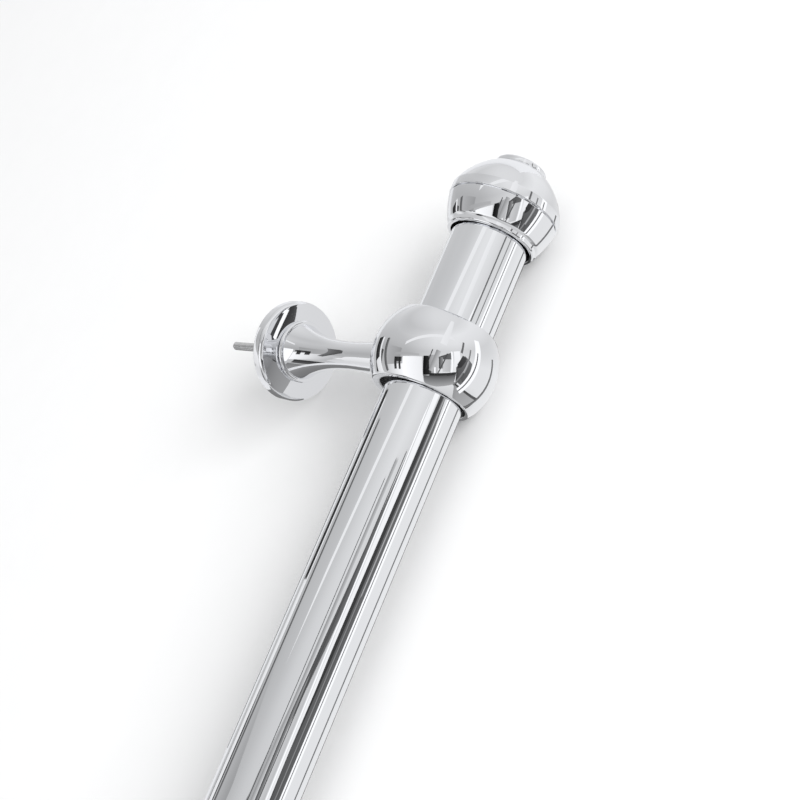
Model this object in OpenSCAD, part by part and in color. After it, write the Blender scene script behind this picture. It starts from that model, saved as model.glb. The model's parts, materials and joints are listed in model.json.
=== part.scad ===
// Wall-mounted pool handrail: a round tube with a cap on each end, held by two wall brackets.
// The origin is the centre of the right flange's back face, on the wall.
// +X runs along the rail to its right end, +Y into the wall and +Z up.

/* [Rail] */
// Distance between the two brackets
bracket_spacing = 360; // [200:10:2500]
// Distance from the wall to the middle of the tube
rail_offset = 122; // [110:1:140]
// Outer diameter of the tube
tube_d = 43; // [42:0.5:44]
// Wall thickness of the tube
tube_wall = 1.5; // [1:0.1:2.5]
// How far the tube runs past the middle of each bracket
tube_overhang = 100; // [98:1:104]

/* [End caps] */
// Distance from the middle of the bracket to the cap's rim
cap_start = 73.2; // [70:0.1:74]
// Bore of the rim, which clears the tube
rim_bore_d = 45; // [44.6:0.1:46]
// Outer diameter of the rolled rim
rim_d = 49.6; // [49:0.1:50]
// Diameter at the top of the flared skirt
skirt_d = 61.2; // [60:0.1:61.4]
// Length of the skirt
skirt_h = 18.2; // [17:0.1:19]
// Diameter of the band above the seam
band_d = 62; // [61.6:0.1:63]
// Length of the band
band_h = 6; // [5:0.1:8]
// Height of the dome above the band
dome_h = 19.4; // [18:0.1:21]
// Diameter of the crown disc
disc_d = 29; // [27:0.5:30]
// Height of the crown disc at its middle
disc_h = 4.6; // [3:0.1:5]

/* [Bracket ring] */
// Diameter of the ball that the ring is cut from
ball_d = 68; // [67:0.5:70]
// How far the ball's middle lies from the tube's middle, towards the wall
ball_shift = 3; // [2:0.1:3.5]
// Length of the ring along the tube
ring_length = 41; // [40:0.5:42]
// Diameter of the open mouth at each end of the ring
mouth_d = 47.8; // [47.4:0.1:48]
// How far the mouth's middle lies from the tube's middle, towards the wall
mouth_shift = 1.2; // [0.8:0.1:1.4]
// Depth of each mouth
mouth_depth = 3; // [2:0.5:4]

/* [Stem and flange] */
// Diameter of the stem where it meets the ring
stem_root_d = 20.6; // [18:0.1:21]
// Diameter of the stem at its neck
neck_d = 16; // [15:0.5:18]
// Distance from the middle of the tube to the neck
neck_at = 68; // [60:1:75]
// Diameter of the bell-shaped foot
bell_d = 36; // [32:0.5:40]
// Thickness of the lip round the foot
lip_h = 2.4; // [1.5:0.1:3]
// Diameter of the wall flange
flange_d = 58; // [54:0.5:64]
// Thickness of the wall flange at its middle
flange_h = 8.6; // [6:0.2:10]
// Diameter of the wall stud's thread
stud_d = 5; // [4:1:6]
// Length of stud behind the flange
stud_reach = 56; // [40:1:80]

/* [Hidden] */

chrome = [0.80, 0.81, 0.83];
nylon = [0.06, 0.06, 0.07];
steel = [0.62, 0.63, 0.65];
$fn = 96;

tube_r = tube_d / 2;
running_gap = 0.05;
free_gap = 0.3;

// Stations along the tube, measured outwards from the middle of a bracket
seam_at = cap_start + skirt_h;
seam_w = 0.5;
band_at = seam_at + seam_w;
shoulder_at = band_at + band_h;
crown_at = shoulder_at + dome_h;

shell_t = 2.8;
spigot_r = skirt_d / 2 - 3.6;
spigot_t = 2;
spigot_h = 4;
boss_r = 11;
head_recess_r = 9;
head_r = 5;
head_h = 4;
head_seat_at = crown_at - 5.2;
screw_r = 3;
screw_length = 28;
plug_head_h = 2;
plug_depth = 20;
crown_flat_r = disc_d / 2 + 0.5;

// Stations from the middle of the tube towards the wall
liner_r = tube_r + 1.7;
ring_bore_r = liner_r + running_gap;
stem_seat = 35.3;
stem_end = rail_offset - flange_h - 0.2;
joining_r = 4;
joining_from = 26.3;
joining_to = 50.3;
stud_depth = 14;
shank_r = 2.3;
face_fall = 1.5;
grub_r = 3;
grub_h = 8;
hex_r = 1.75;

// Points of an arc from angle a0 to angle a1 round a centre
function arc(cx, cy, r, a0, a1, n) =
    [for (i = [0:n]) let (a = a0 + (a1 - a0) * i / n) [cx + r * cos(a), cy + r * sin(a)]];

// Points of an arc between two points, bulging to the left of the way from p to q
function bulge(p, q, rise, n) =
    let (d = q - p, half = norm(d) / 2, r = (half * half + rise * rise) / (2 * rise),
         left = [-d[1], d[0]] / norm(d), c = (p + q) / 2 - left * (r - rise),
         a0 = atan2(p[1] - c[1], p[0] - c[0]), sweep = 2 * asin(half / r))
    [for (i = [0:n]) let (a = a0 - sweep * i / n) c + r * [cos(a), sin(a)]];

function backwards(points) = [for (i = [len(points) - 1:-1:0]) points[i]];

// Radius of the stem at a distance from the middle of the tube
function stem_r(d) = d < neck_at
    ? (neck_d + (stem_root_d - neck_d) * pow((neck_at - d) / (neck_at - stem_seat), 1.3)) / 2
    : (neck_d + (bell_d - 2.6 - neck_d) * pow((d - neck_at) / (stem_end - lip_h - neck_at), 2.6)) / 2;

// Both brackets have the same shape, one bracket spacing apart
module at_bracket(side) translate([side == "left" ? -bracket_spacing : 0, 0, 0]) children();

// The left cap is the mirror image of the right one
module at_end(side) at_bracket(side) mirror([side == "left" ? 1 : 0, 0, 0]) children();

// Turns a shape drawn along Z to lie along the tube
module along_tube(from) translate([from, -rail_offset, 0]) rotate([0, 90, 0]) children();

// Turns a shape drawn along Z to point at the wall, starting at the middle of the tube
module towards_wall(from) translate([0, from - rail_offset, 0]) rotate([-90, 0, 0]) children();

// A solid of revolution from points given as [distance along the axis, radius]
module lathe(points) rotate_extrude() polygon([for (p = points) [p[1], p[0]]]);

// A rod with a small chamfer at each end
module rod(r, h, chamfer) lathe([[0, 0], [0, r - chamfer], [chamfer, r], [h - chamfer, r],
                                 [h, r - chamfer], [h, 0]]);

module rail_tube() color(chrome)
    along_tube(-bracket_spacing - tube_overhang)
        difference() {
            cylinder(r = tube_r, h = bracket_spacing + 2 * tube_overhang);
            translate([0, 0, -1])
                cylinder(r = tube_r - tube_wall, h = bracket_spacing + 2 * tube_overhang + 2);
        }

// Flared lower shell of the cap, with its rolled rim and the ledge under the seam
module skirt(side) color(chrome) at_end(side) along_tube(0)
    lathe(concat(
        [[cap_start + 0.6, rim_bore_d / 2]],
        arc(cap_start + 1.3, rim_d / 2 - 1.3, 1.3, 200, 90, 6),
        [[cap_start + 2.8, rim_d / 2], [cap_start + 3.2, rim_d / 2 + 0.3]],
        bulge([cap_start + 3.8, rim_d / 2 + 1.2], [seam_at - 0.4, skirt_d / 2], 0.35, 8),
        [[seam_at, skirt_d / 2 - 0.4], [seam_at, skirt_d / 2 - 1], [band_at, skirt_d / 2 - 1],
         [band_at, spigot_r], [cap_start + 14, spigot_r],
         [cap_start + 7, rim_bore_d / 2 + 2.2], [cap_start + 4, rim_bore_d / 2]]));

// Band and dome in one shell, with a spigot for the skirt and a boss for the screw
module dome(side) color(chrome) at_end(side) along_tube(0) {
    inner_r = band_d / 2 - shell_t;
    lathe(concat(
        [[band_at - spigot_h, spigot_r - spigot_t], [band_at - spigot_h, spigot_r],
         [band_at, spigot_r], [band_at, band_d / 2 - 0.4], [band_at + 0.4, band_d / 2],
         [shoulder_at, band_d / 2]],
        bulge([shoulder_at + 0.3, band_d / 2 - 0.3], [crown_at, crown_flat_r], 1.9, 12),
        [[crown_at, head_recess_r], [head_seat_at, head_recess_r], [head_seat_at, screw_r],
         [tube_overhang + plug_head_h, screw_r], [tube_overhang + plug_head_h, boss_r],
         [crown_at - shell_t - 3.4, boss_r]],
        backwards(bulge([shoulder_at - 0.5, inner_r], [crown_at - shell_t - 3, crown_flat_r - 2],
                        1.6, 8)),
        [[band_at + 1.5, inner_r], [band_at + 1.5, spigot_r - spigot_t]]));
}

// Crowned disc that covers the screw, with a short spigot in the dome's recess
module crown_disc(side) color(chrome) at_end(side) along_tube(crown_at)
    lathe(concat(
        [[-1.2, 0], [-1.2, head_recess_r], [0, head_recess_r], [0, disc_d / 2 - 0.4],
         [0.4, disc_d / 2]],
        arc(disc_h * 0.42, disc_d / 2 - 1.5, 1.5, 90, 25, 5),
        bulge([disc_h * 0.8, disc_d / 2 - 2.6], [disc_h, 0], 0.35, 8)));

module cap_screw(side) color(steel) at_end(side) along_tube(head_seat_at)
    difference() {
        union() {
            cylinder(r = head_r, h = head_h);
            translate([0, 0, -screw_length]) cylinder(r = screw_r, h = screw_length + 1);
        }
        translate([0, 0, head_h - 2.2]) cylinder(r = 2.9, h = 4, $fn = 6);
    }

module tube_plug(side) color(nylon) at_end(side) along_tube(tube_overhang)
    difference() {
        union() {
            translate([0, 0, -plug_depth]) cylinder(r = tube_r - tube_wall, h = plug_depth + 1);
            cylinder(r = tube_r, h = plug_head_h);
        }
        translate([0, 0, -plug_depth - 1]) cylinder(r = screw_r, h = plug_depth + plug_head_h + 2);
    }

// Ball-shaped ring with a bore for the liner, a wider mouth at each end and two tapped holes
module ring(side) color(chrome) at_bracket(side)
    difference() {
        translate([0, ball_shift, 0]) along_tube(0)
            rotate_extrude()
                intersection() {
                    circle(d = ball_d);
                    translate([0, -ring_length / 2]) square([ball_d, ring_length]);
                }
        along_tube(-ring_length) cylinder(r = ring_bore_r, h = 2 * ring_length);
        for (end = [-1, 1])
            translate([end * (ring_length / 2 - mouth_depth / 2 + 1), mouth_shift, 0])
                along_tube(-mouth_depth / 2 - 1) cylinder(d = mouth_d, h = mouth_depth + 2);
        towards_wall(joining_from) cylinder(r = joining_r, h = stem_seat);
        towards_wall(stem_seat) cylinder(r = stem_root_d, h = stem_seat);
        translate([0, -rail_offset, -ball_d]) cylinder(r = grub_r, h = ball_d);
    }

// Split liner that grips the tube when the clamp screw is tightened
module liner(side) color(nylon) at_bracket(side)
    along_tube(mouth_depth - ring_length / 2)
        difference() {
            cylinder(r = liner_r, h = ring_length - 2 * mouth_depth);
            translate([0, 0, -1]) cylinder(r = tube_r + running_gap, h = ring_length);
            translate([-1, 0, -1]) cube([2, 2 * liner_r, ring_length]);
        }

module clamp_screw(side) color(steel) at_bracket(side)
    translate([0, -rail_offset, -liner_r - free_gap - grub_h])
        difference() {
            rod(grub_r, grub_h, 0.4);
            translate([0, 0, -1]) cylinder(r = hex_r, h = 4, $fn = 6);
        }

// Slim stem with a bell-shaped foot, tapped at both ends
module stem(side) color(chrome) at_bracket(side) {
    lip_at = stem_end - lip_h;
    root_steps = 10;
    bell_steps = 14;
    difference() {
        towards_wall(0)
            lathe(concat(
                [[stem_seat, 0]],
                [for (i = [0:root_steps - 1])
                    let (d = stem_seat + (neck_at - stem_seat) * i / root_steps) [d, stem_r(d)]],
                [for (i = [0:bell_steps])
                    let (d = neck_at + (lip_at - neck_at) * i / bell_steps) [d, stem_r(d)]],
                arc(stem_end - lip_h / 2, bell_d / 2 - lip_h / 2, lip_h / 2, 150, 10, 8),
                [[stem_end, bell_d / 2 - lip_h / 2], [stem_end, 0]]));
        towards_wall(stem_seat - 1) cylinder(r = joining_r, h = joining_to - stem_seat + 1);
        towards_wall(stem_end - stud_depth) cylinder(d = stud_d, h = stud_depth + 1);
    }
}

module joining_stud(side) color(steel) at_bracket(side)
    towards_wall(joining_from) rod(joining_r, joining_to - joining_from, 0.6);

// Thick round wall flange with a crowned face, which turns on the stud
module flange(side) color(chrome) at_bracket(side) {
    round_r = 2.4;
    face_r = flange_d / 2 - round_r;
    face_steps = 12;
    difference() {
        towards_wall(rail_offset - flange_h)
            lathe(concat(
                [for (i = [0:face_steps - 1]) let (k = i / face_steps) [face_fall * pow(k, 3), face_r * k]],
                arc(face_fall + round_r, face_r, round_r, 170, 90, 8),
                [[flange_h - 0.6, flange_d / 2], [flange_h, flange_d / 2 - 0.6], [flange_h, 0]]));
        towards_wall(rail_offset - 2 * flange_h)
            cylinder(r = stud_d / 2 + running_gap, h = 3 * flange_h);
    }
}

// Double-ended stud with a plain shank where the flange turns on it
module wall_stud(side) color(steel) at_bracket(side) {
    r = stud_d / 2;
    root = stem_end - stud_depth;
    tip = rail_offset + stud_reach;
    towards_wall(0)
        lathe([[root, 0], [root, r - 0.5], [root + 0.5, r],
               [stem_end - 1.2, r], [stem_end - 1, shank_r],
               [rail_offset + 0.4, shank_r], [rail_offset + 0.6, r],
               [tip - 0.5, r], [tip, r - 0.5], [tip, 0]]);
}

rail_tube();
skirt("right");  // skirt_right
dome("right");  // dome_right
crown_disc("right");  // crown_disc_right
cap_screw("right");  // cap_screw_right
tube_plug("right");  // tube_plug_right
skirt("left");  // skirt_left
dome("left");  // dome_left
crown_disc("left");  // crown_disc_left
cap_screw("left");  // cap_screw_left
tube_plug("left");  // tube_plug_left
ring("right");  // ring_right
liner("right");  // liner_right
clamp_screw("right");  // clamp_screw_right
stem("right");  // stem_right
joining_stud("right");  // joining_stud_right
flange("right");  // flange_right
wall_stud("right");  // wall_stud_right
ring("left");  // ring_left
liner("left");  // liner_left
clamp_screw("left");  // clamp_screw_left
stem("left");  // stem_left
joining_stud("left");  // joining_stud_left
flange("left");  // flange_left
wall_stud("left");  // wall_stud_left
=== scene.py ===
import math

import bpy
import json
from mathutils import Matrix, Vector


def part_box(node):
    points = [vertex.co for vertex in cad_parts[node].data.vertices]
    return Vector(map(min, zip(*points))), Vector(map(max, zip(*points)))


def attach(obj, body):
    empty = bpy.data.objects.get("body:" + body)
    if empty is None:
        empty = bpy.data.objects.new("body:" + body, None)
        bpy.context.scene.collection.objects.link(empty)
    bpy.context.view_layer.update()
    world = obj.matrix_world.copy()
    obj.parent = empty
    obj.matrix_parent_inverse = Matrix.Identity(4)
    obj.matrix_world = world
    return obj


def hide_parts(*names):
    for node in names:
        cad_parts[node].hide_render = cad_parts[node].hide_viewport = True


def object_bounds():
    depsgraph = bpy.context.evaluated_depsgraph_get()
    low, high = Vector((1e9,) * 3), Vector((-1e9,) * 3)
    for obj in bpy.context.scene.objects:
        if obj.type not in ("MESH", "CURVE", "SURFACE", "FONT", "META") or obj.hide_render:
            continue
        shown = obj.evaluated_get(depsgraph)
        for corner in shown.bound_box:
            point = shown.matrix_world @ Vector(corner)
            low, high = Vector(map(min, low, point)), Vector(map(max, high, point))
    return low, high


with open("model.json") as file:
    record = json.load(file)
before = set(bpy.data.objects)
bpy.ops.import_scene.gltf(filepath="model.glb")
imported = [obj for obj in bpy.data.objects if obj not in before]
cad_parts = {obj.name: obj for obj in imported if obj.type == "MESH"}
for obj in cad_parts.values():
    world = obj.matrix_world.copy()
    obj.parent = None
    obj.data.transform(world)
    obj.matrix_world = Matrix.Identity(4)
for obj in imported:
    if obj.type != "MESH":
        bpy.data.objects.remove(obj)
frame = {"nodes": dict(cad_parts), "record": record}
cad_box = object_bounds()

MM = 0.001
SIDES = ("right", "left")


# ---------------------------------------------------------------- places read from the frame

def middle(node):
    low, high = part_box(node)
    return (Vector(low) + Vector(high)) / 2


def span(node, axis):
    low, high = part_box(node)
    return high[axis] - low[axis]


TUBE_R = span("rail_tube", 2) / 2
AXIS_Y = middle("rail_tube").y
BRACKET_X = {side: middle("liner_" + side).x for side in SIDES}
OUTWARD = {"right": 1.0, "left": -1.0}


# ---------------------------------------------------------------- camera

VIEW_AZIMUTH = -19.4
VIEW_ELEVATION = 39.1
VIEW_ROLL = 54.2
VIEW_DISTANCE = 0.785
LENS = 67.5
SENSOR = 36.0


def view_axes():
    """The camera's right, up and backward directions."""
    azimuth = math.radians(VIEW_AZIMUTH)
    elevation = math.radians(VIEW_ELEVATION)
    roll = math.radians(VIEW_ROLL)
    forward = Vector((-math.sin(azimuth) * math.cos(elevation),
                      math.cos(azimuth) * math.cos(elevation), -math.sin(elevation)))
    level_right = forward.cross(Vector((0, 0, 1))).normalized()
    level_up = level_right.cross(forward)
    up = math.cos(roll) * level_up + math.sin(roll) * level_right
    return forward.cross(up), up, -forward


RIGHT, UP, BACK = view_axes()
RING_CENTRE = Vector((BRACKET_X["right"], AXIS_Y, 0))
# Millimetres from the ring's middle to the point the camera looks at
AIM_SHIFT = Vector((-24.6, 12.1, 4.0))


def make_camera():
    aim = RING_CENTRE + AIM_SHIFT * MM
    data = bpy.data.cameras.new("camera")
    data.lens = LENS
    data.sensor_width = SENSOR
    camera = bpy.data.objects.new("camera", data)
    turn = Matrix((RIGHT, UP, BACK)).transposed().to_4x4()
    camera.matrix_world = Matrix.Translation(aim + BACK * VIEW_DISTANCE) @ turn
    bpy.context.collection.objects.link(camera)
    bpy.context.scene.camera = camera


make_camera()


# ---------------------------------------------------------------- materials

def new_material(name):
    material = bpy.data.materials.new(name)
    material.use_nodes = True
    nodes = material.node_tree.nodes
    return material, nodes, material.node_tree.links, nodes["Principled BSDF"]


def noise(nodes, links, scale, detail, stretch=(1, 1, 1)):
    """Noise in object space, stretched so that it runs along an axis."""
    place = nodes.new("ShaderNodeTexCoord")
    mapping = nodes.new("ShaderNodeMapping")
    mapping.inputs["Scale"].default_value = stretch
    texture = nodes.new("ShaderNodeTexNoise")
    texture.inputs["Scale"].default_value = scale
    texture.inputs["Detail"].default_value = detail
    links.new(place.outputs["Object"], mapping.inputs["Vector"])
    links.new(mapping.outputs["Vector"], texture.inputs["Vector"])
    return texture.outputs["Fac"]


def remap(nodes, links, value, low, high):
    node = nodes.new("ShaderNodeMapRange")
    node.inputs["From Min"].default_value = 0.3
    node.inputs["From Max"].default_value = 0.7
    node.inputs["To Min"].default_value = low
    node.inputs["To Max"].default_value = high
    links.new(value, node.inputs["Value"])
    return node.outputs["Result"]


def blend_colour(nodes, links, value, first, second):
    node = nodes.new("ShaderNodeMix")
    node.data_type = "RGBA"
    node.inputs["A"].default_value = (*first, 1)
    node.inputs["B"].default_value = (*second, 1)
    links.new(value, node.inputs["Factor"])
    return node.outputs["Result"]


def bump(nodes, links, height, distance, strength, normal=None):
    node = nodes.new("ShaderNodeBump")
    node.inputs["Distance"].default_value = distance
    node.inputs["Strength"].default_value = strength
    links.new(height, node.inputs["Height"])
    if normal is not None:
        links.new(normal, node.inputs["Normal"])
    return node.outputs["Normal"]


def polished_metal(name, light, dark, roughness, wave, grain, grain_stretch):
    """Mirror chrome: faint colour drift, a film of handling marks and two depths of polishing waves."""
    material, nodes, links, shader = new_material(name)
    shader.inputs["Metallic"].default_value = 1.0
    drift = noise(nodes, links, 14, 3)
    film = noise(nodes, links, 55, 6, grain_stretch)
    links.new(blend_colour(nodes, links, drift, light, dark), shader.inputs["Base Color"])
    links.new(remap(nodes, links, film, *roughness), shader.inputs["Roughness"])
    slow = bump(nodes, links, noise(nodes, links, wave[0], 1), wave[1], 1.0)
    links.new(bump(nodes, links, noise(nodes, links, grain[0], 2, grain_stretch), grain[1], 1.0, slow),
              shader.inputs["Normal"])
    return material


def dull_material(name, light, dark, metallic, roughness, grain):
    """Unpolished surface with a fine grain in colour, gloss and height."""
    material, nodes, links, shader = new_material(name)
    shader.inputs["Metallic"].default_value = metallic
    speckle = noise(nodes, links, grain[0], 5)
    links.new(blend_colour(nodes, links, speckle, light, dark), shader.inputs["Base Color"])
    links.new(remap(nodes, links, speckle, *roughness), shader.inputs["Roughness"])
    links.new(bump(nodes, links, speckle, grain[1], 1.0), shader.inputs["Normal"])
    return material


TUBE_CHROME = polished_metal("tube_chrome", (0.93, 0.935, 0.95), (0.89, 0.90, 0.92), (0.02, 0.05),
                             (18, 0.00006), (260, 0.0000015), (0.05, 1, 1))
CAST_CHROME = polished_metal("cast_chrome", (0.92, 0.925, 0.94), (0.88, 0.885, 0.905), (0.015, 0.045),
                             (26, 0.00008), (220, 0.000001), (1, 1, 1))
# Near-black inside faces of the caps and the ring's bore: painted shade in these hollows
HOLLOW_SHADE = dull_material("painted_hollow_shade", (0.022, 0.022, 0.022), (0.01, 0.01, 0.011), 0.0, (0.6, 0.8),
                            (900, 0.00004))
NYLON = dull_material("black_nylon", (0.008, 0.008, 0.009), (0.014, 0.014, 0.015), 0.0, (0.55, 0.7),
                      (1400, 0.00002))
STEEL = dull_material("plain_steel", (0.62, 0.63, 0.65), (0.5, 0.51, 0.53), 1.0, (0.25, 0.4),
                      (700, 0.00001))
STUD_STEEL = dull_material("stud_steel", (0.74, 0.74, 0.74), (0.5, 0.5, 0.5), 1.0, (0.1, 0.2),
                           (800, 0.00001))


# ---------------------------------------------------------------- mesh tools

def arc(cx, cy, radius, start, end, steps):
    """Points from angle start to angle end round a centre, in degrees."""
    angles = [math.radians(start + (end - start) * i / steps) for i in range(steps + 1)]
    return [(cx + radius * math.cos(a), cy + radius * math.sin(a)) for a in angles]


def bulge(p, q, rise, steps):
    """Points of an arc from p to q that bulges to the left of the way by rise."""
    p, q = Vector(p), Vector(q)
    way = q - p
    half = way.length / 2
    radius = (half * half + rise * rise) / (2 * rise)
    left = Vector((-way.y, way.x)).normalized()
    centre = (p + q) / 2 - left * (radius - rise)
    start = math.degrees(math.atan2(p.y - centre.y, p.x - centre.x))
    sweep = 2 * math.degrees(math.asin(half / radius))
    return arc(centre.x, centre.y, radius, start, start - sweep, steps)


def refine(points, longest):
    """Splits long stretches of an outline, so that its shading stays even."""
    dense = [points[0]]
    for p, q in zip(points, points[1:]):
        parts = max(1, math.ceil(math.dist(p, q) / longest))
        dense += [(p[0] + (q[0] - p[0]) * i / parts, p[1] + (q[1] - p[1]) * i / parts)
                  for i in range(1, parts + 1)]
    return dense


def finish_mesh(name, vertices, faces, materials, face_material, sharp):
    """Makes an object whose edges sharper than an angle stay crisp."""
    mesh = bpy.data.meshes.new(name)
    mesh.from_pydata(vertices, [], faces)
    for material in materials:
        mesh.materials.append(material)
    for polygon, index in zip(mesh.polygons, face_material):
        polygon.material_index = index
    mesh.validate()
    piece = bpy.data.objects.new(name, mesh)
    bpy.context.collection.objects.link(piece)
    bpy.context.view_layer.objects.active = piece
    piece.select_set(True)
    bpy.ops.object.shade_smooth_by_angle(angle=math.radians(sharp))
    piece.select_set(False)
    return piece


def revolve(name, outline, start, axis, material, inside=None, inside_from=None, steps=192, sharp=35):
    """Turns an outline of (distance, radius) points in millimetres round an axis through start.
    A closed outline makes a ring, and one that ends on the axis makes a solid."""
    axis = axis.normalized()
    side = axis.orthogonal().normalized()
    other = axis.cross(side)
    closed = math.dist(outline[0], outline[-1]) < 1e-6
    if closed:
        outline = outline[:-1]
    vertices = []
    rings = []
    for distance, radius in outline:
        along = start + axis * distance * MM
        if radius < 1e-6:
            rings.append([len(vertices)] * steps)
            vertices.append(along)
            continue
        rings.append(list(range(len(vertices), len(vertices) + steps)))
        for i in range(steps):
            a = 2 * math.pi * i / steps
            vertices.append(along + (side * math.cos(a) + other * math.sin(a)) * radius * MM)
    faces = []
    face_material = []
    pairs = list(zip(range(len(rings)), range(1, len(rings)))) + ([(len(rings) - 1, 0)] if closed else [])
    for number, (a, b) in enumerate(pairs):
        for i in range(steps):
            j = (i + 1) % steps
            corners = [rings[a][i], rings[a][j], rings[b][j], rings[b][i]]
            corners = list(dict.fromkeys(corners))
            if len(corners) > 2:
                faces.append(corners)
                face_material.append(1 if inside and number >= inside_from else 0)
    materials = [material] + ([inside] if inside else [])
    return finish_mesh(name, vertices, faces, materials, face_material, sharp)


def place(piece, body, slot, *nodes):
    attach(piece, body)
    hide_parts(*nodes)


# ---------------------------------------------------------------- rail and caps

def make_tube():
    length = span("rail_tube", 0) / MM
    outer = TUBE_R / MM
    inner = outer - 1.5
    edge = 0.4
    outline = [(edge, outer), *refine([(edge, outer), (length - edge, outer)], 10)[1:],
               (length, outer - edge), (length, inner), (0, inner), (0, outer - edge), (edge, outer)]
    start = Vector((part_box("rail_tube")[0][0], AXIS_Y, 0))
    piece = revolve("tube", outline, start, Vector((1, 0, 0)), TUBE_CHROME, steps=256)
    place(piece, "rail", "tube_chrome", "rail_tube")


def cap_frame(side):
    """Middle of the bracket and the way out to the cap, from which cap distances are measured."""
    return Vector((BRACKET_X[side], AXIS_Y, 0)), Vector((OUTWARD[side], 0, 0))


def cap_station(side, node):
    """Nearest and farthest distance of a cap node from the middle of its bracket, in millimetres."""
    low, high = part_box(node + "_" + side)
    ends = sorted(abs(x - BRACKET_X[side]) / MM for x in (low[0], high[0]))
    return ends


def make_skirt(side):
    start, top = cap_station(side, "skirt")
    wide = span("skirt_" + side, 2) / 2 / MM
    rim = 24.8
    bore = 22.5
    seam = top - 0.5
    outline = [(start + 1.3, bore), *arc(start + 1.3, rim - 1.3, 1.3, 215, 80, 16)]
    outline += [(start + 2.9, rim + 0.05), (start + 3.3, rim + 0.5)]
    outline += bulge((start + 3.8, rim + 1.2), (seam - 0.5, wide), 0.45, 28)
    outline += arc(seam - 0.5, wide - 0.5, 0.5, 90, 0, 5)
    outline += [(seam, wide - 1.0), (top, wide - 1.0), (top, wide - 3.6), (start + 14, wide - 3.6)]
    # Faces from here on are the hollow inside, which gets the near-black painted shade
    inside_from = len(outline) - 1
    outline += [(start + 7, bore + 2.2), (start + 4, bore), (start + 1.3, bore)]
    origin, out = cap_frame(side)
    piece = revolve("cap_skirt_" + side, outline, origin, out, CAST_CHROME, HOLLOW_SHADE, inside_from)
    place(piece, "rail", "cast_chrome", "skirt_" + side)


def make_dome(side):
    start, crown = cap_station(side, "dome")
    wide = span("dome_" + side, 2) / 2 / MM
    band = cap_station(side, "skirt")[1]
    shoulder = band + 6.0
    spigot = span("skirt_" + side, 2) / 2 / MM - 3.6
    disc = span("crown_disc_" + side, 2) / 2 / MM
    outline = [(start, spigot - 2), (start, spigot), (band, spigot), (band, wide - 0.5)]
    outline += arc(band + 0.5, wide - 0.5, 0.5, 180, 90, 5)
    outline += arc(shoulder - 0.8, wide - 0.8, 0.8, 90, 65, 4)
    outline += bulge((shoulder + 0.3, wide - 0.35), (crown, disc + 0.5), 1.9, 40)
    outline += [(crown, 9.0)]
    # Faces from here on are the hollow inside, which gets the near-black painted shade
    inside_from = len(outline) - 1
    outline += [(crown - 5.2, 9.0), (crown - 5.2, 3.0), (crown - 16, 3.0), (crown - 16, 11.0),
                (crown - 6.2, 11.0), (crown - 5.8, disc - 1.5)]
    outline += bulge((shoulder - 0.5, wide - 2.8), (crown - 5.8, disc - 1.5), 1.6, 12)[::-1][1:]
    outline += [(band + 1.5, wide - 2.8), (band + 1.5, spigot - 2), (start, spigot - 2)]
    origin, out = cap_frame(side)
    piece = revolve("cap_dome_" + side, outline, origin, out, CAST_CHROME, HOLLOW_SHADE, inside_from)
    place(piece, "rail", "cast_chrome", "dome_" + side)


def make_crown_disc(side):
    top = cap_station(side, "crown_disc")[1]
    crown = cap_station(side, "dome")[1]
    height = top - crown
    wide = span("crown_disc_" + side, 2) / 2 / MM
    outline = [(crown - 1.2, 0), (crown - 1.2, 9.0), (crown, 9.0), (crown, wide - 0.5)]
    outline += arc(crown + 0.5, wide - 0.5, 0.5, 180, 90, 5)
    outline += arc(crown + height * 0.42, wide - 1.5, 1.5, 90, 22, 10)
    outline += bulge((crown + height * 0.8, wide - 2.6), (top, 0), 0.35, 24)
    origin, out = cap_frame(side)
    piece = revolve("cap_crown_disc_" + side, outline, origin, out, CAST_CHROME)
    place(piece, "rail", "cast_chrome", "crown_disc_" + side)


# ---------------------------------------------------------------- brackets

BALL_R = 34.0
BALL_SHIFT = 3.0
MOUTH_R = 23.9
MOUTH_SHIFT = 1.2
MOUTH_DEPTH = 3.0
BORE_R = 23.25
MOUTH_ROUNDING = 0.7
BALL_ROUNDING = 1.1


def off_centre(radius, shift, angle):
    """Distance from the tube's axis to a circle whose middle is shifted towards the wall."""
    return shift * math.cos(angle) + math.sqrt(radius ** 2 - (shift * math.sin(angle)) ** 2)


def ball_radius(x, angle):
    return off_centre(math.sqrt(BALL_R ** 2 - x ** 2), BALL_SHIFT, angle)


def curve_points(p0, p1, p2, p3, steps):
    """Points of a cubic Bezier curve."""
    points = []
    for i in range(steps + 1):
        t = i / steps
        u = 1 - t
        weights = (u ** 3, 3 * u * u * t, 3 * u * t * t, t ** 3)
        points.append(tuple(sum(w * p[k] for w, p in zip(weights, (p0, p1, p2, p3)))
                            for k in (0, 1)))
    return points


def ring_half_outline(half, angle):
    """Outline of the ring's section from its middle to one end, from the bore round to the ball."""
    mouth = off_centre(MOUTH_R, MOUTH_SHIFT, angle)
    edge = ball_radius(half, angle)
    inner = min(MOUTH_ROUNDING, 0.35 * (edge - mouth))
    outer = min(BALL_ROUNDING, 0.45 * (edge - mouth))
    turn_at = half - outer * 0.8
    outline = [(0, BORE_R), (half - MOUTH_DEPTH, BORE_R), (half - MOUTH_DEPTH, mouth)]
    outline += curve_points((half - inner, mouth), (half - inner * 0.45, mouth),
                            (half, mouth + inner * 0.45), (half, mouth + inner), 8)
    outline += curve_points((half, edge - outer), (half, edge - outer * 0.4),
                            (half - outer * 0.1, ball_radius(half - outer * 0.1, angle)),
                            (turn_at, ball_radius(turn_at, angle)), 10)
    outline += [(turn_at * (1 - i / 28), ball_radius(turn_at * (1 - i / 28), angle))
                for i in range(1, 29)]
    return outline


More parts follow.
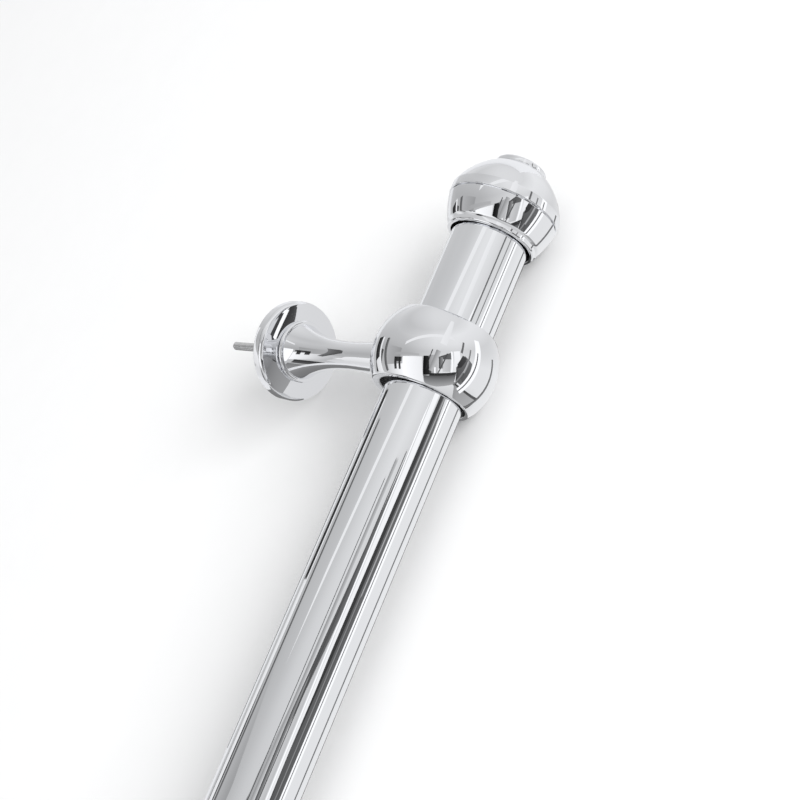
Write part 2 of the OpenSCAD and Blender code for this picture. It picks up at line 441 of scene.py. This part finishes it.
def make_ring(side):
    half = span("ring_" + side, 0) / 2 / MM
    steps = 224
    centre = Vector((BRACKET_X[side], AXIS_Y, 0))
    vertices = []
    count = 0
    for i in range(steps):
        angle = 2 * math.pi * i / steps
        front = ring_half_outline(half, angle)
        outline = front + [(-x, r) for x, r in front[-2:0:-1]]
        count = len(outline)
        vertices += [centre + Vector((x, r * math.cos(angle), r * math.sin(angle))) * MM
                     for x, r in outline]
    # The bore and its step get the near-black painted shade
    dark = {0, 1, count - 1, count - 2}
    faces = []
    face_material = []
    for i in range(steps):
        j = (i + 1) % steps
        for k in range(count):
            m = (k + 1) % count
            faces.append([i * count + k, i * count + m, j * count + m, j * count + k])
            face_material.append(1 if k in dark else 0)
    piece = finish_mesh("ring_body_" + side, vertices, faces, [CAST_CHROME, HOLLOW_SHADE],
                        face_material, 40)
    place(piece, "bracket_" + side, "cast_chrome", "ring_" + side)


def towards_wall(side):
    return Vector((BRACKET_X[side], AXIS_Y, 0)), Vector((0, 1, 0))


def make_stem(side):
    low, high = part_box("stem_" + side)
    start = (low[1] - AXIS_Y) / MM
    end = (high[1] - AXIS_Y) / MM
    root, neck, foot = 10.3, 8.0, 18.0
    neck_at = 68.0
    lip = 2.4
    lip_at = end - lip
    swell_rise, swell_reach = 1.5, 4.5
    outline = [(start, 0)]
    for i in range(49):
        d = start + (neck_at - start) * (i / 48) ** 1.5
        swell = swell_rise * max(0.0, 1 - (d - start) / swell_reach) ** 2.5
        outline.append((d, neck + (root - neck) * ((neck_at - d) / (neck_at - start)) ** 1.3 + swell))
    for i in range(1, 49):
        d = neck_at + (lip_at - neck_at) * i / 48
        outline.append((d, neck + (foot - 2.1 - neck) * ((d - neck_at) / (lip_at - neck_at)) ** 2.6))
    outline += arc(end - lip / 2, foot - lip / 2, lip / 2, 195, 10, 24)
    outline += [(end, foot - lip / 2), (end, 0)]
    origin, out = towards_wall(side)
    piece = revolve("stem_body_" + side, outline, origin, out, CAST_CHROME)
    place(piece, "bracket_" + side, "cast_chrome", "stem_" + side)


def make_flange(side):
    """Round flange whose crowned face falls away towards a soft edge."""
    low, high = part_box("flange_" + side)
    front = (low[1] - AXIS_Y) / MM
    back = (high[1] - AXIS_Y) / MM
    wide = (high[2] - low[2]) / 2 / MM
    hole = 2.55
    soft = 2.4
    fall = 1.5
    face = wide - soft
    outline = [(front + fall * (r / face) ** 3, r)
               for r in (hole + (face - hole) * i / 60 for i in range(60))]
    outline += arc(front + fall + soft, face, soft, 170, 90, 18)
    outline += arc(back - 0.6, wide - 0.6, 0.6, 90, 0, 5)
    outline += [(back, hole), outline[0]]
    origin, out = towards_wall(side)
    piece = revolve("flange_plate_" + side, outline, origin, out, CAST_CHROME)
    place(piece, "plate_" + side, "cast_chrome", "flange_" + side)


def make_wall_stud(side):
    """Stud with a real helical thread on all of its length."""
    low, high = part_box("wall_stud_" + side)
    crest = (high[2] - low[2]) / 2 / MM
    root = crest - 0.49
    pitch = 0.8
    length = (high[1] - low[1]) / MM
    around = 40
    per_turn = 10
    rows = round(length / pitch * per_turn)
    taper = 0.8
    across = middle("wall_stud_" + side).x
    vertices = []
    for k in range(rows + 1):
        d = length * k / rows
        from_end = min(d, length - d)
        limit = crest - max(0.0, taper - from_end)
        for i in range(around):
            turn = i / around
            phase = (d / pitch - turn) % 1.0
            height = min(1.0, max(0.0, 1.25 - abs(phase - 0.5) * 3.0))
            radius = min(limit, root + (crest - root) * height)
            angle = 2 * math.pi * turn
            vertices.append((across + radius * math.cos(angle) * MM, low[1] + d * MM,
                             -radius * math.sin(angle) * MM))
    faces = []
    for k in range(rows):
        for i in range(around):
            j = (i + 1) % around
            faces.append([k * around + i, k * around + j, (k + 1) * around + j, (k + 1) * around + i])
    faces.append(list(range(around))[::-1])
    faces.append(list(range(rows * around, (rows + 1) * around)))
    piece = finish_mesh("threaded_stud_" + side, vertices, faces, [STUD_STEEL], [0] * len(faces), 50)
    place(piece, "bracket_" + side, "stud_steel", "wall_stud_" + side)


# ---------------------------------------------------------------- CAD nodes that stay

def dress_frame_nodes():
    finishes = {"black_nylon": NYLON, "steel": STEEL}
    for part in frame["record"]["subparts"]:
        material = finishes.get(part["material_slot"])
        if material is None:
            continue
        slots = frame["nodes"][part["node"]].material_slots
        for slot in slots:
            slot.material = material


# ---------------------------------------------------------------- studio

def camera_direction(azimuth, elevation):
    """World direction of an azimuth and elevation seen from the object, in the camera's own axes."""
    a, e = math.radians(azimuth), math.radians(elevation)
    return RIGHT * math.sin(a) * math.cos(e) + UP * math.sin(e) + BACK * math.cos(a) * math.cos(e)


def floor_paper(name, light, dark):
    material, nodes, links, shader = new_material(name)
    speckle = noise(nodes, links, 40, 4)
    links.new(blend_colour(nodes, links, speckle, light, dark), shader.inputs["Base Color"])
    shader.inputs["Roughness"].default_value = 0.9
    shader.inputs["Specular IOR Level"].default_value = 0.1
    return material


def floor_sheet(name, height, near, far, material):
    reach = 15.0
    mesh = bpy.data.meshes.new(name)
    mesh.from_pydata([(-reach, near, height), (reach, near, height), (reach, far, height),
                      (-reach, far, height)], [], [(0, 1, 2, 3)])
    mesh.materials.append(material)
    floor = bpy.data.objects.new(name, mesh)
    bpy.context.collection.objects.link(floor)
    return floor


# Heights above the floor of the sheets that lie on it, in metres: each one hides those below it
MIRRORED_FLOOR_HEIGHT = 0.0002
FLAG_HEIGHT = 0.0003
FLAG_LAYER = 0.0001


def make_floor():
    """White floor, and a greyer copy of it behind the tube that the chrome mirrors in its place: painted
    shade that darkens the floor in reflections. In front of the tube the chrome mirrors the cards that
    stand there."""
    bottom = cad_box[0][2]
    seen = floor_sheet("floor", bottom, -15.0, 15.0,
                       floor_paper("floor_paper", (0.90, 0.90, 0.90), (0.88, 0.88, 0.88)))
    seen.visible_glossy = False
    # Greyer copy of the floor, seen only in reflections: painted shade in the floor's reflection
    mirrored = floor_sheet("mirrored_floor", bottom + MIRRORED_FLOOR_HEIGHT, AXIS_Y, 15.0,
                           floor_paper("shaded_floor_paper", (0.78, 0.785, 0.795), (0.75, 0.755, 0.765)))
    mirrored.visible_camera = False
    mirrored.visible_diffuse = False
    mirrored.visible_shadow = False


CARD_TINT = (0.985, 0.99, 1.0, 1)


def make_card(name, points, levels, along):
    """A studio card seen only in reflections. Its corners run left top, right top, right bottom,
    left bottom, and its brightness runs from the first level to the second across it or down it."""
    mesh = bpy.data.meshes.new(name)
    mesh.from_pydata(points, [], [(0, 1, 2, 3)])
    layer = mesh.attributes.new("shade", "FLOAT", "POINT")
    for value, level in zip(layer.data, (0, 1, 1, 0) if along == "across" else (0, 0, 1, 1)):
        value.value = level
    material, nodes, links, shader = new_material(name)
    shader.inputs["Base Color"].default_value = (0, 0, 0, 1)
    shader.inputs["Specular IOR Level"].default_value = 0
    shader.inputs["Emission Color"].default_value = CARD_TINT
    shade = nodes.new("ShaderNodeAttribute")
    shade.attribute_name = "shade"
    ramp = nodes.new("ShaderNodeMapRange")
    ramp.inputs["To Min"].default_value = levels[0]
    ramp.inputs["To Max"].default_value = levels[1]
    links.new(shade.outputs["Fac"], ramp.inputs["Value"])
    links.new(ramp.outputs["Result"], shader.inputs["Emission Strength"])
    mesh.materials.append(material)
    card = bpy.data.objects.new(name, mesh)
    card.visible_camera = False
    card.visible_diffuse = False
    card.visible_shadow = False
    bpy.context.collection.objects.link(card)


def faraway_card(name, distance, corners, levels, along):
    """A card placed by the azimuth and elevation, in degrees, at which the ring sees its corners."""
    points = [RING_CENTRE + camera_direction(*corner) * ROOM * distance for corner in corners]
    make_card(name, points, levels, along)


def long_card(name, angle, width, start, end, distance, levels):
    """A strip parallel to the tube, at an angle round it in degrees: 0 is the wall, 90 is up."""
    points = []
    for x, a in ((start, angle), (end, angle), (end, angle + width), (start, angle + width)):
        turn = math.radians(a)
        points.append((x * MM, AXIS_Y + distance * math.cos(turn), distance * math.sin(turn)))
    make_card(name, points, levels, "down")


def painted_floor_patch(name, layer, corners, levels, along):
    """A glowing patch just above the floor, seen only in the chrome, that paints light and shadow into
    the floor's reflection. Of two that overlap, the higher layer shows.
    """
    height = cad_box[0][2] + FLAG_HEIGHT + layer * FLAG_LAYER
    make_card(name, [(x * MM, y * MM, height) for x, y in corners], levels, along)


def upright(left, right, top, bottom):
    return ((left, top), (right, top), (right, bottom), (left, bottom))


# Metres from the ring's middle to a faraway card whose distance is 1
ROOM = 2.6

CARDS = (
    # name, distance, corners, levels, direction of the change
    ("white_window", 0.95, upright(-59, -23, 10, -34), (1.15, 0.95), "across"),
    ("window_head", 0.93, upright(-78, -28, 15, 11.5), (0.42, 0.5), "across"),
    ("window_jamb", 0.90, upright(-76, -71, 9, -8), (0.02, 0.06), "down"),
    ("window_lintel", 0.90, upright(-72, -61, 9, 2.5), (0.02, 0.1), "across"),
    ("window_post", 0.89, upright(-67, -63, 9, -9), (0.02, 0.06), "down"),
    ("stand_post", 0.70, ((-20.5, 11.5), (-11, 11.5), (-10, -21), (-22.5, -21)), (0.004, 0.03), "across"),
    ("stand_shade", 0.72, upright(-11, 5, 13, -19), (0.34, 0.62), "across"),
    ("post_foot", 0.69, upright(-10.5, -7, -10, -24), (0.12, 0.06), "down"),
    ("bright_slit", 0.69, upright(-2, 0.8, -8, -24), (1.1, 1.1), "down"),
    ("arm_top", 0.68, ((6, 9.5), (28, 16), (28, 5), (6, 5)), (0.07, 0.16), "across"),
    ("arm_leg", 0.67, upright(6, 13.5, 9, -10.5), (0.05, 0.34), "across"),
    ("arm_inside", 0.71, upright(13, 27, 6, -16), (0.68, 0.55), "across"),
    ("ledge", 0.68, ((-11, -18), (38, -15.5), (38, -20), (-11, -23)), (0.03, 0.05), "across"),
    ("ledge_front", 0.70, ((-22, -21), (38, -19), (38, -36), (-22, -40)), (0.09, 0.42), "down"),
    ("slit_pair", 0.68, upright(28.5, 31, 18, -24), (1.15, 1.1), "down"),
    ("pale_strip", 0.74, upright(33.5, 45, 18, -10), (1.05, 0.95), "down"),
    ("screen_edge", 0.66, ((39, -3), (50, 11), (58, 5), (41, -14)), (0.04, 0.07), "across"),
    ("screen", 0.67, ((37, -8), (54, 10), (68, -2), (60, -36)), (0.11, 0.17), "across"),
    ("screen_foot", 0.68, ((37, -8), (62, -34), (60, -37), (40, -30)), (0.06, 0.2), "across"),
    ("far_curtain", 1.1, upright(-126, -107, 15, -7), (0.01, 0.09), "across"),
    ("left_grey", 1.15, upright(-102, -64, 22, -1), (0.5, 0.36), "across"),
    ("left_glow", 1.12, upright(-101, -59, -1, -28), (0.5, 1.1), "across"),
    ("low_white", 1.16, upright(-178, -101, -14, -28), (1.0, 0.7), "across"),
    ("low_band", 1.1, upright(-152, -66, -29, -40), (0.02, 0.12), "down"),
    ("low_grey", 1.15, upright(-156, -62, -40, -64), (0.22, 0.38), "down"),
    ("low_corner", 1.12, upright(-182, -154, -20, -52), (1.1, 0.9), "across"),
    ("high_arc", 1.12, ((-60, 33), (40, 42), (42, 36), (-60, 28)), (0.92, 0.9), "across"),
    ("low_right", 1.12, ((38, -33), (120, -36), (136, -60), (58, -62)), (0.34, 0.48), "across"),
    ("low_right_top", 1.1, ((36, -31.5), (122, -34), (122, -37), (36, -34.5)), (0.04, 0.12), "across"),
    ("low_right_end", 1.1, ((117, -35), (123, -35), (141, -60), (135, -60)), (0.05, 0.1), "down"),
)

STRIPS = (
    # name, angle round the tube, width, start, end, distance, levels across the width
    ("wall_side_strip", 13, 14, -330, 110, 0.55, (0.8, 0.95)),
    ("near_curtain", 11, 12, -70, 105, 0.50, (0.01, 0.06)),
    ("wall_side_line", 36, 6, -330, 90, 0.55, (0.08, 0.2)),
    ("thin_cable", 126, 1.6, -330, 40, 0.55, (0.02, 0.04)),
    ("soft_edge", 133, 8, -330, 60, 0.55, (0.3, 0.6)),
    ("thin_rod", 151, 2.2, -330, 70, 0.55, (0.06, 0.12)),
    ("front_band", 190, 4.5, -330, -60, 0.55, (0.35, 0.06)),
    ("front_band_middle", 191, 3.5, -60, 130, 0.55, (0.55, 0.3)),
    ("front_band_end", 190, 3, 130, 330, 0.55, (0.4, 0.1)),
    ("front_lamp", 203, 14, -330, 620, 0.55, (1.15, 1.1)),
    ("front_wire", 208, 2.4, -330, 330, 0.54, (0.06, 0.1)),
    ("low_line", 253, 6, -330, 330, 0.55, (0.12, 0.25)),
    ("cap_lamp", 134, 12, 190, 1500, 0.55, (0.93, 0.88)),
    ("cap_line", 173, 4, 190, 420, 0.55, (0.12, 0.2)),
)

# Glowing patches lying on the floor, seen only in the chrome, with painted light on the floor beside the
# stem and painted shadow below the tube and stem: layer, corners as x and y, levels, direction
PAINTED_FLOOR_PATCHES = (
    ("painted_lit_floor_by_stem", 0, ((-27, 90), (160, 90), (160, -128), (-27, -128)), (0.72, 0.78), "down"),
    # Dark patches: painted shadow of the tube and stem in the floor's reflection
    ("painted_shadow_below_tube", 1, ((-480, -64), (0, -52), (0, -128), (-480, -128)), (0.36, 0.2), "down"),
    ("painted_shadow_below_tube_end", 1, ((0, -72), (120, -114), (120, -128), (0, -128)), (0.1, 0.04), "down"),
    ("painted_shadow_below_stem", 1, ((-220, 70), (-27, 70), (-27, -14), (-220, -14)), (0.34, 0.2), "across"),
)


LAMP_DISTANCE = 4.0
KEY_SIZE = (3.0, 1.6)
KEY_WATTS = 150
FILL_STRENGTH = 0.52
FILL_SPREAD = 64


def aim_light(name, data, azimuth, elevation):
    """A lamp aimed at the ring, unseen in reflections. Azimuth 0 is in front, away from the wall."""
    a, e = math.radians(azimuth), math.radians(elevation)
    towards = Vector((math.sin(a) * math.cos(e), -math.cos(a) * math.cos(e), math.sin(e)))
    light = bpy.data.objects.new(name, data)
    light.location = RING_CENTRE + towards * LAMP_DISTANCE
    light.rotation_euler = towards.to_track_quat("Z", "Y").to_euler()
    light.visible_glossy = False
    bpy.context.collection.objects.link(light)


def make_lights():
    """A large soft lamp from the front, and even light from above that doesn't fade with distance."""
    key = bpy.data.lights.new("key_light", "AREA")
    key.shape = "RECTANGLE"
    key.size, key.size_y = KEY_SIZE
    key.energy = KEY_WATTS
    aim_light("key_light", key, 12, 28)
    fill = bpy.data.lights.new("fill_light", "SUN")
    fill.angle = math.radians(FILL_SPREAD)
    fill.energy = FILL_STRENGTH
    aim_light("fill_light", fill, -20, 74)


# Brightness of the room by direction, from -1 to 1 along the picture's upward and sideways axes
SKY_UPWARD = ((-1.0, 0.60), (-0.55, 0.82), (-0.1, 0.86), (0.16, 0.74), (0.32, 0.70), (0.5, 0.80),
              (0.7, 0.84), (0.86, 0.72), (1.0, 0.78))
SKY_SIDEWAYS = ((-1.0, 0.64), (-0.75, 0.70), (-0.4, 0.86), (0.0, 1.0), (0.6, 1.06), (1.0, 1.0))
SKY_TINT = (0.993, 0.996, 1.0)


def ramp_along(nodes, links, direction, axis, stops):
    """Brightness of a direction by how far it points along an axis."""
    along = nodes.new("ShaderNodeVectorMath")
    along.operation = "DOT_PRODUCT"
    along.inputs[1].default_value = axis
    spread = nodes.new("ShaderNodeMapRange")
    spread.inputs["From Min"].default_value = -1
    ramp = nodes.new("ShaderNodeValToRGB")
    links.new(direction, along.inputs[0])
    links.new(along.outputs["Value"], spread.inputs["Value"])
    links.new(spread.outputs["Result"], ramp.inputs["Fac"])
    elements = ramp.color_ramp.elements
    elements.remove(elements[-1])
    for position, _ in stops[1:]:
        elements.new((position + 1) / 2)
    for element, (position, level) in zip(elements, stops):
        element.position = (position + 1) / 2
        element.color = (level * SKY_TINT[0], level * SKY_TINT[1], level * SKY_TINT[2], 1)
    return ramp.outputs["Color"]


def make_studio():
    world = bpy.data.worlds.new("studio")
    bpy.context.scene.world = world
    world.use_nodes = True
    nodes, links = world.node_tree.nodes, world.node_tree.links
    coordinates = nodes.new("ShaderNodeTexCoord")
    height = ramp_along(nodes, links, coordinates.outputs["Generated"], UP, SKY_UPWARD)
    side = ramp_along(nodes, links, coordinates.outputs["Generated"], RIGHT, SKY_SIDEWAYS)
    both = nodes.new("ShaderNodeMix")
    both.data_type = "RGBA"
    both.blend_type = "MULTIPLY"
    both.inputs["Factor"].default_value = 1.0
    links.new(height, both.inputs["A"])
    links.new(side, both.inputs["B"])
    links.new(both.outputs["Result"], nodes["Background"].inputs["Color"])
    nodes["Background"].inputs["Strength"].default_value = 1.0
    make_floor()
    for card in CARDS:
        faraway_card(*card)
    for strip in STRIPS:
        long_card(*strip)
    # Painted light and painted shadow on the floor, seen only in the chrome
    for flag in PAINTED_FLOOR_PATCHES:
        painted_floor_patch(*flag)
    make_lights()
    bpy.context.scene.view_settings.view_transform = "Standard"


# ---------------------------------------------------------------- everything

make_tube()
for one_side in SIDES:
    make_skirt(one_side)
    make_dome(one_side)
    make_crown_disc(one_side)
    make_ring(one_side)
    make_stem(one_side)
    make_flange(one_side)
    make_wall_stud(one_side)
dress_frame_nodes()
make_studio()
